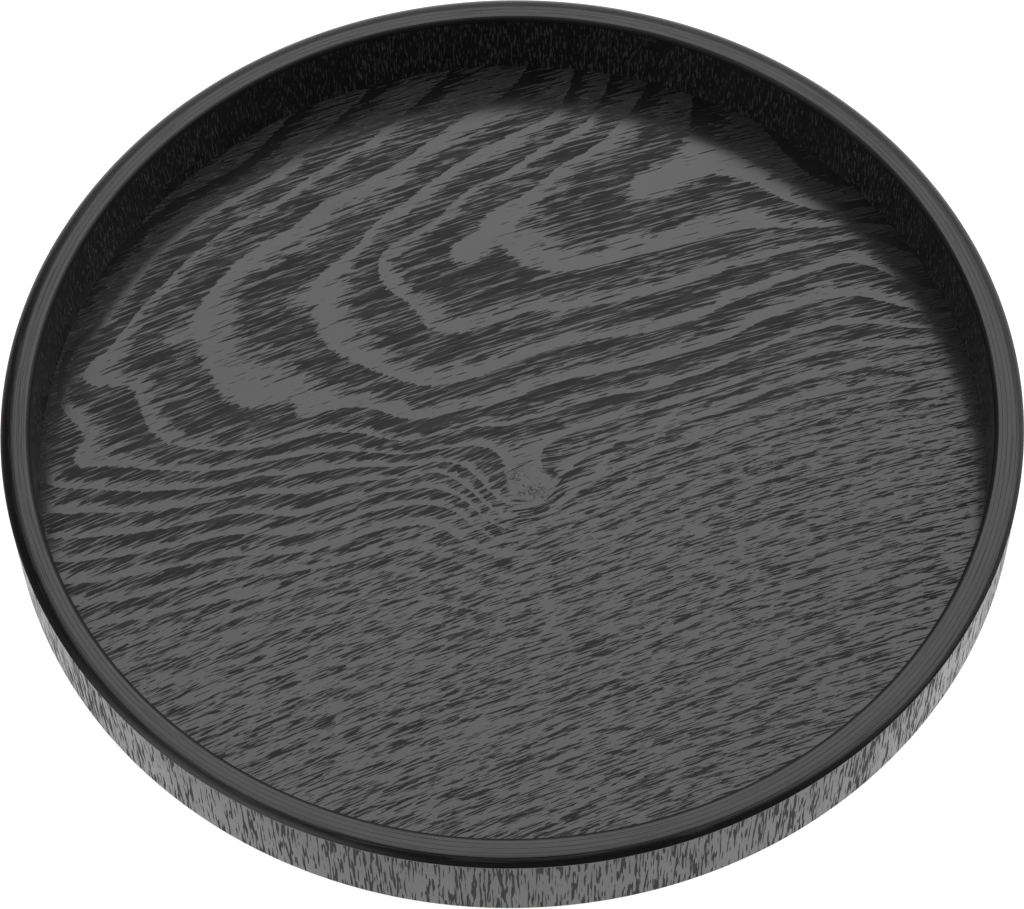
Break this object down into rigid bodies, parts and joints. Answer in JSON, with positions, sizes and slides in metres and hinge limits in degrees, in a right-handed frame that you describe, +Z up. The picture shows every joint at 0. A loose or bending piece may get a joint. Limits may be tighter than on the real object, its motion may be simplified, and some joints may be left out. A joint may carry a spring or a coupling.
{
  "type": "serving tray",
  "caption": "Small round serving tray with a low upright laminated wooden rim and a flat veneered base, in black satin lacquer with open grain.",
  "frame": {"origin": "centre of the circle that the rim's foot stands on", "axes": "+Z up along the tray's round axis, -Y towards the viewer, +X to the viewer's right along the floor's figure"},
  "size_m": [0.21, 0.21, 0.02],
  "materials": {
    "lacquered_ash": "black satin lacquer over open-pored ash veneer",
    "lacquered_strip": "black satin lacquer on the edges of bent long-grain strips",
    "birch_ply": "unfinished birch plies, sealed inside the base"
  },
  "bodies": {
    "root": {"floor_veneer": "lacquered_ash", "base_upper_cross_ply": "birch_ply", "base_core_ply": "birch_ply", "base_lower_cross_ply": "birch_ply", "base_backing_veneer": "lacquered_ash", "rim_inner_veneer": "lacquered_ash", "rim_lamination_1": "lacquered_strip", "rim_lamination_2": "lacquered_strip", "rim_lamination_3": "lacquered_strip", "rim_lamination_4": "lacquered_strip", "rim_lamination_5": "lacquered_strip", "rim_outer_veneer": "lacquered_ash"}
  },
  "joints": []
}
